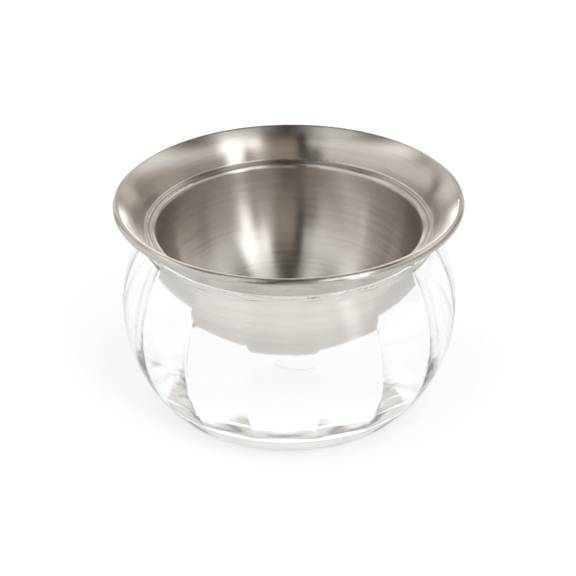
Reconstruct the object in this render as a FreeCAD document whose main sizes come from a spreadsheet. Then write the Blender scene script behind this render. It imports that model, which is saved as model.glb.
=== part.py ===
"""Chilled dip bowl: a spun steel insert that hangs by its ledge in the mouth of a clear globe.

Millimetres, +Z up. The origin is the centre of the foot, on the surface that the bowl stands on.
The globe is round outside, and its ice chamber has wide, soft-edged flutes inside. The insert is one
piece of sheet: well, ledge, flare and rolled bead. It lifts straight out.
"""
import FreeCAD, Part
import math
import os

import Sketcher

doc = FreeCAD.newDocument("chilled_dip_bowl")

# Driving dimensions
DIMENSIONS = {
    # Globe, outside: the belly stands out past the lip, and the base is drawn in under it
    "globe_height": 93.6,
    "belly_bulge": 12.1,
    "belly_height": 48.4,
    "base_inset": 17.7,
    "base_corner": 8.0,
    "foot_width": 9.0,
    "foot_depth": 1.2,
    "foot_bevel": 2.0,
    "gate_radius": 6.0,
    "gate_height": 0.5,
    # Globe, lip and mouth
    "lip_wall": 5.5,
    "lip_height": 4.3,
    "lip_round": 1.0,
    "lip_clearance": 1.3,
    "lip_edge_round": 0.8,
    # Ice chamber
    "chamber_floor": 9.0,
    "floor_inset": 3.0,
    "flute_clearance": 0.9,
    "flute_count": 16,
    "flute_turn": 8.9,
    "flute_round": 6.0,
    "chamber_corner": 7.0,
    # Steel insert
    "sheet": 0.8,
    "well_radius": 68.0,
    "well_corner": 2.5,
    "well_side": 3.5,
    "ice_depth": 16.6,
    "ledge_setback": 1.0,
    "flare_corner": 1.0,
    "flare_lean": 15.0,
    "flare_reach": 14.4,
    "flare_rise": 15.8,
    "bead_radius": 2.2,
    "bead_turn": 256.0,
}

# What follows from them: the globe is built outwards from the well that hangs in it
RELATIONS = {
    "well_outside": "Dimensions.well_radius + Dimensions.sheet",
    "mouth_radius": "well_outside + Dimensions.lip_clearance",
    "lip_radius": "mouth_radius + Dimensions.lip_wall",
    "belly_radius": "lip_radius + Dimensions.belly_bulge",
    "neck_height": "Dimensions.globe_height - Dimensions.lip_height",
    "shoulder_rise": "neck_height - Dimensions.belly_height",
    "shoulder_curve": "(Dimensions.belly_bulge ^ 2 + shoulder_rise ^ 2) / (2 * Dimensions.belly_bulge)",
    "base_curve": "(Dimensions.base_inset ^ 2 + Dimensions.belly_height ^ 2) / (2 * Dimensions.base_inset)",
    "chamber_wall": "lip_radius - well_outside - Dimensions.flute_clearance",
    "chamber_floor_radius": "belly_radius - Dimensions.base_inset - Dimensions.floor_inset",
    "ledge_height": "Dimensions.globe_height + Dimensions.sheet",
    "side_foot_height": "ledge_height - Dimensions.well_corner - Dimensions.well_side",
    "well_bottom": "Dimensions.chamber_floor + Dimensions.ice_depth + Dimensions.sheet",
    "bowl_depth": "side_foot_height - well_bottom",
    # The bowl of the well starts at the side with the curve that an ellipse of its width and depth has there
    "knuckle_curve": "bowl_depth ^ 2 / Dimensions.well_radius",
    "flare_foot_radius": "lip_radius - Dimensions.ledge_setback",
    "bead_centre_radius": "flare_foot_radius + Dimensions.flare_reach - Dimensions.bead_radius",
    "bead_centre_height": "ledge_height + Dimensions.flare_rise - Dimensions.bead_radius",
}


def fill_sheet(label, cells):
    """A sheet with one named cell to a row."""
    page = doc.addObject("Spreadsheet::Sheet", label)
    for row, (name, content) in enumerate(cells.items(), start=1):
        page.set("A%d" % row, name)
        page.setAlias("B%d" % row, name)
        page.set("B%d" % row, content)
    doc.recompute()
    return page


driving = fill_sheet("Dimensions", {name: str(value) for name, value in DIMENSIONS.items()})
following = fill_sheet("Relations", {name: "=" + formula for name, formula in RELATIONS.items()})


def size(name):
    """The value of a named cell of either sheet."""
    page = driving if name in DIMENSIONS else following
    return float(page.get(name))


# Sketch helpers: x in a sketch is the radius, y the height
UPRIGHT = FreeCAD.Placement(FreeCAD.Vector(), FreeCAD.Rotation(FreeCAD.Vector(1, 0, 0), 90))
ORIGIN = (-1, 1)
GROUND = -1
AXIS = -2
START, END, CENTRE = range(1, 4)


def new_sketch(name):
    sketch = doc.addObject("Sketcher::SketchObject", name)
    sketch.Placement = UPRIGHT
    return sketch


def point(radius, height):
    return FreeCAD.Vector(radius, height, 0)


def add_line(sketch, first, last):
    return sketch.addGeometry(Part.LineSegment(point(*first), point(*last)), False)


def add_arc(sketch, centre, radius, first_angle, last_angle):
    """An arc drawn anticlockwise between two angles in degrees."""
    circle = Part.Circle(point(*centre), FreeCAD.Vector(0, 0, 1), radius)
    arc = Part.ArcOfCircle(circle, math.radians(first_angle), math.radians(last_angle))
    return sketch.addGeometry(arc, False)


def constrain(sketch, kind, *place):
    return sketch.addConstraint(Sketcher.Constraint(kind, *place))


def drive(sketch, expression, kind, *place):
    """A dimension that follows the sheet. The drawn geometry already has the size, so it starts there."""
    index = constrain(sketch, kind, *place)
    sketch.setExpression("Constraints[%d]" % index, expression)


# How far a tool solid runs past the face that it opens, and how close an edge lies to where it is looked for
PAST = 1.0
NEAR = 0.1


# Steel insert: the upper face of the sheet as one tangent line from the axis to the end of the bead
def draw_insert():
    corner, fillet, bead = size("well_corner"), size("flare_corner"), size("bead_radius")
    ledge, foot = size("ledge_height"), size("flare_foot_radius")
    corner_centre = (size("well_radius") + corner, ledge - corner)
    side_foot = (size("well_radius"), size("side_foot_height"))
    # The flare leaves its fillet with a small lean outwards, and its arc touches the circle of the bead
    lean = math.radians(size("flare_lean"))
    outwards, upwards = math.cos(lean), math.sin(lean)
    fillet_centre = (foot - fillet * outwards, ledge + fillet)
    flare_foot = (foot, fillet_centre[1] - fillet * upwards)
    bead_centre = (size("bead_centre_radius"), size("bead_centre_height"))
    across, rise = bead_centre[0] - foot, bead_centre[1] - flare_foot[1]
    flare = (across ** 2 + rise ** 2 - bead ** 2) / (2 * (across * outwards - rise * upwards - bead))
    flare_centre = (foot + flare * outwards, flare_foot[1] - flare * upwards)
    touch = math.degrees(math.atan2(bead_centre[1] - flare_centre[1], bead_centre[0] - flare_centre[0]))
    # The arc of the bottom has its centre on the axis and touches the arc of the knuckle
    width, depth, knuckle = size("well_radius"), size("bowl_depth"), size("knuckle_curve")
    bottom, bowl = size("well_bottom"), width * (width + depth) / (2 * depth)
    meet = -math.degrees(math.atan2(width * (width + 2 * depth), 2 * depth * (width + depth)))

    sketch = new_sketch("insert_line")
    floor_arc = add_arc(sketch, (0, bottom + bowl), bowl, -90, meet)
    knuckle_arc = add_arc(sketch, (width - knuckle, side_foot[1]), knuckle, meet, 0)
    side = add_line(sketch, side_foot, (side_foot[0], corner_centre[1]))
    corner_arc = add_arc(sketch, corner_centre, corner, 90, 180)
    shelf = add_line(sketch, (corner_centre[0], ledge), (fillet_centre[0], ledge))
    fillet_arc = add_arc(sketch, fillet_centre, fillet, -90, -size("flare_lean"))
    flare_arc = add_arc(sketch, flare_centre, flare, touch, 180 - size("flare_lean"))
    bead_arc = add_arc(sketch, bead_centre, bead, touch - size("bead_turn"), touch)

    for first, first_end, last, last_end in (
        (floor_arc, END, knuckle_arc, START),
        (knuckle_arc, END, side, START),
        (side, END, corner_arc, END),
        (corner_arc, START, shelf, START),
        (shelf, END, fillet_arc, START),
        (fillet_arc, END, flare_arc, END),
        (flare_arc, START, bead_arc, END),
    ):
        constrain(sketch, "Tangent", first, first_end, last, last_end)
    constrain(sketch, "PointOnObject", floor_arc, START, AXIS)
    constrain(sketch, "PointOnObject", floor_arc, CENTRE, AXIS)
    constrain(sketch, "Vertical", side)
    constrain(sketch, "Horizontal", shelf)

    drive(sketch, "Dimensions.well_radius", "DistanceX", *ORIGIN, side, START, side_foot[0])
    drive(sketch, "Relations.side_foot_height", "DistanceY", *ORIGIN, side, START, side_foot[1])
    drive(sketch, "Relations.knuckle_curve", "Radius", knuckle_arc, knuckle)
    drive(sketch, "Relations.well_bottom", "DistanceY", *ORIGIN, floor_arc, START, bottom)
    drive(sketch, "Dimensions.well_corner", "Radius", corner_arc, corner)
    drive(sketch, "Relations.ledge_height", "DistanceY", *ORIGIN, shelf, START, ledge)
    drive(sketch, "Dimensions.flare_corner", "Radius", fillet_arc, fillet)
    drive(sketch, "90 - Dimensions.flare_lean", "Angle", fillet_arc, math.radians(90 - size("flare_lean")))
    drive(sketch, "Relations.flare_foot_radius", "DistanceX", *ORIGIN, flare_arc, END, foot)
    drive(sketch, "Dimensions.bead_radius", "Radius", bead_arc, bead)
    drive(sketch, "Relations.bead_centre_radius", "DistanceX", *ORIGIN, bead_arc, CENTRE, bead_centre[0])
    drive(sketch, "Relations.bead_centre_height", "DistanceY", *ORIGIN, bead_arc, CENTRE, bead_centre[1])
    drive(sketch, "Dimensions.bead_turn", "Angle", bead_arc, math.radians(size("bead_turn")))
    return sketch


def make_insert():
    line = draw_insert()
    doc.recompute()
    section = doc.addObject("Part::Offset2D", "insert_section")
    section.Source = line
    section.Mode = "Skin"
    section.Fill = True
    section.setExpression("Value", "-Dimensions.sheet")
    insert = doc.addObject("Part::Revolution", "steel_insert")
    insert.Source = section
    insert.Axis = FreeCAD.Vector(0, 0, 1)
    insert.Angle = 360
    insert.Solid = True
    return insert


# Globe: the outside with its foot and lip, as if it were solid. Two arcs meet where the belly is widest
def belly_arc_at(height):
    """Radius and centre of the arc of the belly that passes a height."""
    curve = size("base_curve") if height < size("belly_height") else size("shoulder_curve")
    return curve, (size("belly_radius") - curve, size("belly_height"))


def radius_at(height):
    """Outside radius of the belly at a height."""
    curve, centre = belly_arc_at(height)
    return centre[0] + math.sqrt(curve ** 2 - (height - centre[1]) ** 2)


def draw_globe():
    height, corner, lip = size("globe_height"), size("base_corner"), size("lip_radius")
    neck, lip_round = size("neck_height"), size("lip_round")
    base, base_centre = belly_arc_at(0)
    shoulder, shoulder_centre = belly_arc_at(neck)
    corner_rise = corner - base_centre[1]
    corner_radius = base_centre[0] + math.sqrt((base - corner) ** 2 - corner_rise ** 2)
    corner_turn = math.degrees(math.atan2(corner_rise, corner_radius - base_centre[0]))
    neck_turn = math.degrees(math.atan2(neck - shoulder_centre[1], lip - shoulder_centre[0]))
    foot_inner = corner_radius - size("foot_width")
    recess = foot_inner - size("foot_bevel")

    sketch = new_sketch("globe_outline")
    underside = add_line(sketch, (0, size("foot_depth")), (recess, size("foot_depth")))
    bevel = add_line(sketch, (recess, size("foot_depth")), (foot_inner, 0))
    foot = add_line(sketch, (foot_inner, 0), (corner_radius, 0))
    corner_arc = add_arc(sketch, (corner_radius, corner), corner, -90, corner_turn)
    base_arc = add_arc(sketch, base_centre, base, corner_turn, 0)
    shoulder_arc = add_arc(sketch, shoulder_centre, shoulder, 0, neck_turn)
    lip_side = add_line(sketch, (lip, neck), (lip, height - lip_round))
    lip_arc = add_arc(sketch, (lip - lip_round, height - lip_round), lip_round, 0, 90)
    top = add_line(sketch, (lip - lip_round, height), (0, height))
    axis = add_line(sketch, (0, height), (0, size("foot_depth")))

    for first, last in ((underside, bevel), (bevel, foot), (top, axis), (axis, underside)):
        constrain(sketch, "Coincident", first, END, last, START)
    constrain(sketch, "Coincident", shoulder_arc, END, lip_side, START)
    constrain(sketch, "Tangent", foot, END, corner_arc, START)
    constrain(sketch, "Tangent", lip_side, END, lip_arc, START)
    constrain(sketch, "Tangent", lip_arc, END, top, START)
    # An arc's end angle counts anticlockwise, so each of these runs on from the one below it
    constrain(sketch, "Tangent", corner_arc, END, base_arc, START)
    constrain(sketch, "Tangent", base_arc, END, shoulder_arc, START)
    constrain(sketch, "PointOnObject", underside, START, AXIS)
    constrain(sketch, "PointOnObject", axis, START, AXIS)
    constrain(sketch, "PointOnObject", foot, START, GROUND)
    constrain(sketch, "Horizontal", underside)
    constrain(sketch, "Horizontal", foot)
    constrain(sketch, "Horizontal", top)
    constrain(sketch, "Vertical", lip_side)
    constrain(sketch, "Horizontal", base_arc, CENTRE, base_arc, END)

    drive(sketch, "Dimensions.foot_depth", "DistanceY", *ORIGIN, underside, START, size("foot_depth"))
    drive(sketch, "Dimensions.foot_bevel", "DistanceX", bevel, START, bevel, END, size("foot_bevel"))
    drive(sketch, "Dimensions.foot_width", "DistanceX", foot, START, foot, END, size("foot_width"))
    drive(sketch, "Dimensions.base_corner", "Radius", corner_arc, corner)
    drive(sketch, "Relations.base_curve", "Radius", base_arc, base)
    drive(sketch, "Relations.belly_radius", "DistanceX", *ORIGIN, base_arc, END, size("belly_radius"))
    drive(sketch, "Dimensions.belly_height", "DistanceY", *ORIGIN, base_arc, END, base_centre[1])
    drive(sketch, "Relations.shoulder_curve", "Radius", shoulder_arc, shoulder)
    drive(sketch, "Relations.lip_radius", "DistanceX", *ORIGIN, lip_side, START, lip)
    drive(sketch, "Dimensions.lip_round", "Radius", lip_arc, lip_round)
    drive(sketch, "Dimensions.globe_height", "DistanceY", *ORIGIN, axis, START, height)
    return sketch


# Ice chamber: flat-sided rings stacked from the floor to the neck, joined and softened at their edges
CHAMBER_RINGS = 7


def chamber_apothem(height):
    """Distance from the axis to the middle of a flute: the belly less the wall, drawn in at the floor."""
    floor, middle = size("chamber_floor"), size("belly_height")
    if height >= middle:
        return radius_at(height) - size("chamber_wall")
    widest = size("belly_radius") - size("chamber_wall")
    depth = widest - size("chamber_floor_radius")
    reach = middle - floor
    curve = (reach ** 2 + depth ** 2) / (2 * depth)
    return widest - curve + math.sqrt(curve ** 2 - (middle - height) ** 2)


def edges_where(shape, wanted, radius):
    """The edges of a shape that pass a test, in the form that a fillet reads."""
    return [(place, radius, radius) for place, edge in enumerate(shape.Edges, start=1) if wanted(edge.BoundBox)]


def make_chamber():
    floor = size("chamber_floor")
    neck = size("neck_height")
    rings = []
    for place in range(CHAMBER_RINGS):
        height = floor + (neck - floor) * place / (CHAMBER_RINGS - 1)
        ring = doc.addObject("Part::RegularPolygon", "chamber_ring_%d" % place)
        ring.Polygon = int(size("flute_count"))
        ring.Circumradius = chamber_apothem(height) / math.cos(math.pi / size("flute_count"))
        ring.Placement = FreeCAD.Placement(
            FreeCAD.Vector(0, 0, height),
            FreeCAD.Rotation(FreeCAD.Vector(0, 0, 1), size("flute_turn")),
        )
        rings.append(ring)
    stack = doc.addObject("Part::Loft", "chamber_stack")
    stack.Sections = rings
    stack.Solid = True
    doc.recompute()

    softened = doc.addObject("Part::Fillet", "chamber_flutes")
    softened.Base = stack
    softened.Edges = edges_where(stack.Shape, lambda box: box.ZLength > (neck - floor) / 2, size("flute_round"))
    doc.recompute()

    def on_floor(box):
        return box.ZMax < floor + NEAR

    chamber = doc.addObject("Part::Fillet", "chamber")
    chamber.Base = softened
    chamber.Edges = edges_where(softened.Shape, on_floor, size("chamber_corner"))
    return chamber


def make_globe():
    body = doc.addObject("Part::Revolution", "globe_body")
    body.Source = draw_globe()
    body.Axis = FreeCAD.Vector(0, 0, 1)
    body.Angle = 360
    body.Solid = True
    gate = doc.addObject("Part::Cylinder", "gate")
    gate.setExpression("Radius", "Dimensions.gate_radius")
    gate.setExpression("Height", "Dimensions.gate_height + %f" % PAST)
    gate.setExpression("Placement.Base.z", "Dimensions.foot_depth - Dimensions.gate_height")
    moulding = doc.addObject("Part::Fuse", "moulding")
    moulding.Base = body
    moulding.Tool = gate
    mouth = doc.addObject("Part::Cylinder", "mouth")
    mouth.setExpression("Radius", "Relations.mouth_radius")
    mouth.setExpression("Height", "Dimensions.lip_height + 2 * %f" % PAST)
    mouth.setExpression("Placement.Base.z", "Relations.neck_height - %f" % PAST)
    hollow = doc.addObject("Part::Fuse", "hollow")
    hollow.Base = make_chamber()
    hollow.Tool = mouth
    carved = doc.addObject("Part::Cut", "carved_globe")
    carved.Base = moulding
    carved.Tool = hollow
    doc.recompute()

    def on_mouth(box):
        return box.ZMin > size("globe_height") - NEAR and box.XMax < size("mouth_radius") + NEAR

    globe = doc.addObject("Part::Fillet", "clear_bowl")
    globe.Base = carved
    globe.Edges = edges_where(carved.Shape, on_mouth, size("lip_edge_round"))
    return globe


NODES = {"steel_insert": make_insert(), "clear_bowl": make_globe()}
doc.recompute()

for item in doc.Objects:
    if "Invalid" in item.State or "Error" in item.State:
        raise RuntimeError("%s failed: %s" % (item.Name, item.State))
for name, node in NODES.items():
    node.Label = name
    if node.Shape.isNull() or not node.Shape.isValid() or len(node.Shape.Solids) != 1:
        raise RuntimeError("%s is not one valid solid" % name)

os.makedirs("parts", exist_ok=True)
for name, node in NODES.items():
    node.Shape.exportStep("parts/%s.step" % name)
    box = node.Shape.optimalBoundingBox(False, False)
    print(name, "volume %.0f mm3," % node.Shape.Volume,
          "x %.2f..%.2f, z %.2f..%.2f" % (box.XMin, box.XMax, box.ZMin, box.ZMax))
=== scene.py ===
"""Chilled dip bowl in a plain white studio: a spun steel insert in the mouth of a clear, fluted globe."""

import math

import bmesh
import bpy
from mathutils import Matrix, Vector

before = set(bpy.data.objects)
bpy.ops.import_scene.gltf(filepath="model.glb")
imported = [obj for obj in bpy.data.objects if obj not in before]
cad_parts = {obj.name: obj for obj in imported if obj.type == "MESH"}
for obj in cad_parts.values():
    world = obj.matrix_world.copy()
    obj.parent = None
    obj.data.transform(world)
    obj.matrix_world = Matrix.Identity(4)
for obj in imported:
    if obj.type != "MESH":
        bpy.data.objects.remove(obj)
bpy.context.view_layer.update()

# Table: a wide, smooth, matt white surface that the bowl stands on and that runs out of the picture.
# Its light is topped up for the eye, so that it reads as white paper and keeps the soft shadow round the
# foot. Through the clear globe it is paler still, and behind the bowl almost without shadow.
MILLIMETRE = 0.001
TABLE_SPAN = 6.0
TABLE_HEIGHT = -0.05 * MILLIMETRE  # just clear of the foot, so that no two faces share a plane
TABLE_PAINT = 0.86
TABLE_GLOW = {"Camera": 0.5, "Glossy": 0.28}
CLEAR_GLOW_FRONT = 0.63
CLEAR_GLOW_BACK = 0.71
CLEAR_SHADOW_LOSS = 0.88
FRONT_DEPTH = 100 * MILLIMETRE


class Shade:
    """A socket or a number in a shader sum. An operator on it adds the Math node."""

    def __init__(self, tree, socket):
        self.tree = tree
        self.socket = socket

    def math(self, operation, *others):
        node = self.tree.nodes.new("ShaderNodeMath")
        node.operation = operation
        for slot, value in zip(node.inputs, (self, *others)):
            plug(self.tree, slot, value)
        return Shade(self.tree, node.outputs[0])

    def __add__(self, other):
        return self.math("ADD", other)

    def __sub__(self, other):
        return self.math("SUBTRACT", other)

    def __mul__(self, other):
        return self.math("MULTIPLY", other)

    def __truediv__(self, other):
        return self.math("DIVIDE", other)

    def __rsub__(self, other):
        return Shade(self.tree, other) - self

    __radd__ = __add__
    __rmul__ = __mul__


def plug(tree, slot, value):
    """Links a shade to a socket, or writes a plain value on it."""
    if isinstance(value, Shade):
        value = value.socket
    if isinstance(value, bpy.types.NodeSocket):
        tree.links.new(value, slot)
    else:
        slot.default_value = value


def add_node(tree, kind, settings=None, stops=(), output=0, links=(), **values):
    """A node of any type: its settings and ramp stops first, then the values or links of its sockets."""
    node = tree.nodes.new(kind)
    for name, value in (settings or {}).items():
        setattr(node, name, value)
    if stops:
        for element, (place, colour) in zip(node.color_ramp.elements, stops, strict=True):
            element.position = place
            element.color = colour
    for slot, value in zip(node.inputs, links):
        plug(tree, slot, value)
    for name, value in values.items():
        plug(tree, node.inputs[name.replace("_", " ")], value)
    if output is None:
        return [Shade(tree, socket) for socket in node.outputs]
    return Shade(tree, node.outputs[output]) if node.outputs else None


def new_tree(owner):
    owner.use_nodes = True
    owner.node_tree.nodes.clear()
    return owner.node_tree


def ray_is(tree, kind):
    """1 for a ray of one kind, such as Camera or Transmission, and 0 for any other."""
    return add_node(tree, "ShaderNodeLightPath", output="Is %s Ray" % kind)


def soft_step(tree, value, low, high):
    """0 below the low value and 1 above the high one, with a smooth rise between them."""
    smooth = {"interpolation_type": "SMOOTHSTEP"}
    return add_node(tree, "ShaderNodeMapRange", smooth, Value=value, From_Min=low, From_Max=high)


def paint_table():
    material = bpy.data.materials.new("table_white")
    tree = new_tree(material)
    place = add_node(tree, "ShaderNodeTexCoord", output="Object")
    depth = add_node(tree, "ShaderNodeSeparateXYZ", output="Y", Vector=place)
    behind = soft_step(tree, depth, -FRONT_DEPTH, 0)
    clear = ray_is(tree, "Transmission")
    paint_level = (1 - clear * behind * CLEAR_SHADOW_LOSS) * TABLE_PAINT
    paint = add_node(tree, "ShaderNodeBsdfDiffuse", Color=paint_level)
    clear_glow = CLEAR_GLOW_FRONT + behind * (CLEAR_GLOW_BACK - CLEAR_GLOW_FRONT)
    top_up = sum(ray_is(tree, kind) * level for kind, level in TABLE_GLOW.items()) + clear * clear_glow
    glow = add_node(tree, "ShaderNodeEmission", Color=top_up)
    both = add_node(tree, "ShaderNodeAddShader", links=(paint, glow))
    add_node(tree, "ShaderNodeOutputMaterial", Surface=both)
    return material


def make_table():
    mesh = bpy.data.meshes.new("table")
    shape = bmesh.new()
    place = Matrix.Translation((0, 0, TABLE_HEIGHT))
    bmesh.ops.create_grid(shape, x_segments=1, y_segments=1, size=TABLE_SPAN / 2, matrix=place)
    shape.to_mesh(mesh)
    shape.free()
    mesh.materials.append(paint_table())
    table = bpy.data.objects.new("table", mesh)
    bpy.context.scene.collection.objects.link(table)


make_table()

# Steel insert: one disc of stainless sheet, spun over a form into the well, the ledge, the flare and the
# rolled bead, and finished with a satin pad while it turned. The pad's lines run round the bowl, so a
# reflection is drawn out across them. A shallow crease from the form's edge runs round the ledge.
STEEL_DARK = (0.58, 0.55, 0.515, 1)
STEEL_LIGHT = (0.64, 0.617, 0.59, 1)
TONE_STOPS = ((0.36, STEEL_DARK), (0.64, STEEL_LIGHT))
STEEL_ROUGHNESS = 0.25
ROUGHNESS_SPREAD = 0.12
GRAIN_STRENGTH = 1.0
GRAIN_TURN = 0.25
MILLIMETRES_PER_METRE = 1000
LINE_DRIFT = 1.2
FINE_LINES = {"Scale": 1.3, "Detail": 2.0, "Roughness": 0.7}
BROAD_LINES = {"Scale": 0.4, "Detail": 2.0, "Roughness": 0.6}
FINE_SHARE = 0.45
LINE_DEPTH = 0.004 * MILLIMETRE
CREASE_RADIUS = 71.9 * MILLIMETRE
CREASE_WIDTH = 0.45 * MILLIMETRE
CREASE_DEPTH = 0.25 * MILLIMETRE


def spun_steel():
    material = bpy.data.materials.new("satin_steel")
    tree = new_tree(material)
    place = add_node(tree, "ShaderNodeTexCoord", output="Object")
    x, y, z = add_node(tree, "ShaderNodeSeparateXYZ", output=None, Vector=place)
    radius = (x * x + y * y).math("SQRT")
    turn = y.math("ARCTAN2", x)
    # The lines are fine along the profile and long round the bowl
    along = add_node(
        tree, "ShaderNodeCombineXYZ", X=radius * MILLIMETRES_PER_METRE, Y=z * MILLIMETRES_PER_METRE,
        Z=turn * LINE_DRIFT,
    )
    fine = add_node(tree, "ShaderNodeTexNoise", Vector=along, **FINE_LINES)
    broad = add_node(tree, "ShaderNodeTexNoise", Vector=along, **BROAD_LINES)
    lines = fine * FINE_SHARE + broad * (1 - FINE_SHARE)
    tone = add_node(tree, "ShaderNodeValToRGB", stops=TONE_STOPS, Fac=lines)
    rough = STEEL_ROUGHNESS + (lines - 0.5) * ROUGHNESS_SPREAD
    away = (radius - CREASE_RADIUS) / CREASE_WIDTH
    crease = (away * away * -1).math("EXPONENT") * -CREASE_DEPTH
    relief = add_node(
        tree, "ShaderNodeBump", Strength=1.0, Distance=1.0, Height=lines * LINE_DEPTH + crease,
    )
    surface = add_node(
        tree, "ShaderNodeBsdfPrincipled", Base_Color=tone, Metallic=1.0, Roughness=rough,
        Anisotropic=GRAIN_STRENGTH, Anisotropic_Rotation=GRAIN_TURN, Normal=relief,
    )
    add_node(tree, "ShaderNodeOutputMaterial", Surface=surface)
    return material


def dress(node, material):
    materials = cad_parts[node].data.materials
    materials.clear()
    materials.append(material)


dress("steel_insert", spun_steel())

# Clear globe: one moulding of clear acrylic, round outside and fluted inside, with a gate mark under its
# floor. Its thick walls bend what is behind them, and a faint, cloudy haze on their faces blurs it a little.
ACRYLIC_COLOUR = (0.985, 0.985, 0.985, 1)
ACRYLIC_ROUGHNESS = 0.06
ACRYLIC_IOR = 1.49
HAZE_SPREAD = 0.05
HAZES_PER_METRE = 70


def clear_acrylic():
    material = bpy.data.materials.new("clear_acrylic")
    tree = new_tree(material)
    place = add_node(tree, "ShaderNodeTexCoord", output="Object")
    cloud = add_node(
        tree, "ShaderNodeTexNoise", Vector=place, Scale=HAZES_PER_METRE, Detail=2.0, Roughness=0.5,
    )
    haze = ACRYLIC_ROUGHNESS + (cloud - 0.5) * HAZE_SPREAD
    surface = add_node(
        tree, "ShaderNodeBsdfPrincipled", Base_Color=ACRYLIC_COLOUR, Roughness=haze, IOR=ACRYLIC_IOR,
        Transmission_Weight=1.0,
    )
    add_node(tree, "ShaderNodeOutputMaterial", Surface=surface)
    return material


dress("clear_bowl", clear_acrylic())

# Studio: what the bowl mirrors. A long white wall on the left, a bright window at the front right, a dim
# wall with a lighter strip above it on the right, and a white sweep behind. The gap at the camera is dark,
# and the dimmer a place is, the warmer its light.

# Each wall: two bearings, which start at the camera and go round to the right, two heights, and its level
WALLS = (
    (-132, -28, -20, 34, 0.95),
    (-130, -18, 40, 54, 1.95),
    (-8, 30, -20, 56, 0.40),
    (16, 29, -20, 54, 0.30),
    (37, 48, -20, 32, 3.60),
    (25, 64, 40, 56, 3.50),
    (46, 138, -20, 27, 0.30),
    (50, 146, 29, 50, 1.25),
    (142, 160, -20, 48, 0.80),
    (164, 196, -20, 17, 2.90),
    (162, 198, 23, 46, 0.80),
    (-160, -140, -20, 52, 0.95),
    (-128, -48, 66, 100, 1.35),
    (48, 120, 62, 100, 1.05),
)
WALL_EDGE = 5
FULL_TURN = 360
DIM_TINT = (1.22, 0.97, 0.74, 1)
WHITE = (1, 1, 1, 1)
CLEAR_SHARE = 0.35
CLEAR_LEVEL = 0.88
LIGHT_BOUNCES = 64


def band(tree, angle, low, high):
    """1 between two angles and 0 outside them, with soft edges."""
    rise = soft_step(tree, angle, low - WALL_EDGE, low + WALL_EDGE)
    fall = soft_step(tree, angle, high - WALL_EDGE, high + WALL_EDGE)
    return rise * (1 - fall)


def light_studio():
    world = bpy.data.worlds.new("studio")
    bpy.context.scene.world = world
    tree = new_tree(world)
    place = add_node(tree, "ShaderNodeTexCoord", output="Generated")
    x, y, z = add_node(tree, "ShaderNodeSeparateXYZ", output=None, Vector=place)
    azimuth = x.math("ARCTAN2", y * -1) * math.degrees(1)
    height = z.math("ARCSINE") * math.degrees(1)
    mirrored = 0
    for left, right, low, high, strength in WALLS:
        across = band(tree, azimuth, left, right)
        if right > FULL_TURN / 2:
            across = across + band(tree, azimuth, left - FULL_TURN, right - FULL_TURN)
        mirrored = mirrored + across * band(tree, height, low, high) * strength
    clear, camera = ray_is(tree, "Transmission"), ray_is(tree, "Camera")
    # What shows through the globe is paler than what the steel mirrors, and the eye sees plain white
    through = mirrored.math("MINIMUM", CLEAR_LEVEL) * CLEAR_SHARE + CLEAR_LEVEL * (1 - CLEAR_SHARE)
    level = mirrored * (1 - clear) + through * clear
    level = level * (1 - camera) + camera
    # Only what is mirrored is warm
    pale = level + (1 - ray_is(tree, "Glossy"))
    tint = add_node(tree, "ShaderNodeValToRGB", stops=((0, DIM_TINT), (1, WHITE)), Fac=pale)
    light = add_node(tree, "ShaderNodeBackground", Color=tint, Strength=level)
    add_node(tree, "ShaderNodeOutputWorld", Surface=light)
    # Light turns many corners inside a thick clear wall before it comes out again
    cycles = bpy.context.scene.cycles
    cycles.max_bounces = LIGHT_BOUNCES
    cycles.transmission_bounces = LIGHT_BOUNCES
    cycles.glossy_bounces = LIGHT_BOUNCES


light_studio()

# Camera: in front of the bowl and above it, as far away as the photograph's perspective says. It leans a
# little to one side, as the photograph does.
VIEW_DISTANCE = 700 * MILLIMETRE
VIEW_ELEVATION = math.radians(30.52)
VIEW_HEIGHT = 54.42 * MILLIMETRE
VIEW_ROLL = math.radians(0.55)
PHOTO_WIDTH_PIXELS = 576
PIXELS_PER_MILLIMETRE = 1.8905
AXIS_OFFSET_PIXELS = -1.38
SENSOR_WIDTH = 36.0


def place_camera():
    data = bpy.data.cameras.new("camera")
    data.sensor_width = SENSOR_WIDTH
    data.lens = PIXELS_PER_MILLIMETRE * VIEW_DISTANCE / MILLIMETRE / PHOTO_WIDTH_PIXELS * SENSOR_WIDTH
    data.shift_x = AXIS_OFFSET_PIXELS / PHOTO_WIDTH_PIXELS
    camera = bpy.data.objects.new("camera", data)
    bpy.context.scene.collection.objects.link(camera)
    back = Vector((0, -math.cos(VIEW_ELEVATION), math.sin(VIEW_ELEVATION)))
    turned = back.to_track_quat("Z", "Y").to_matrix().to_4x4() @ Matrix.Rotation(-VIEW_ROLL, 4, "Z")
    camera.matrix_world = Matrix.Translation(Vector((0, 0, VIEW_HEIGHT)) + back * VIEW_DISTANCE) @ turned
    bpy.context.scene.camera = camera


place_camera()
bpy.context.scene.view_settings.view_transform = "Standard"
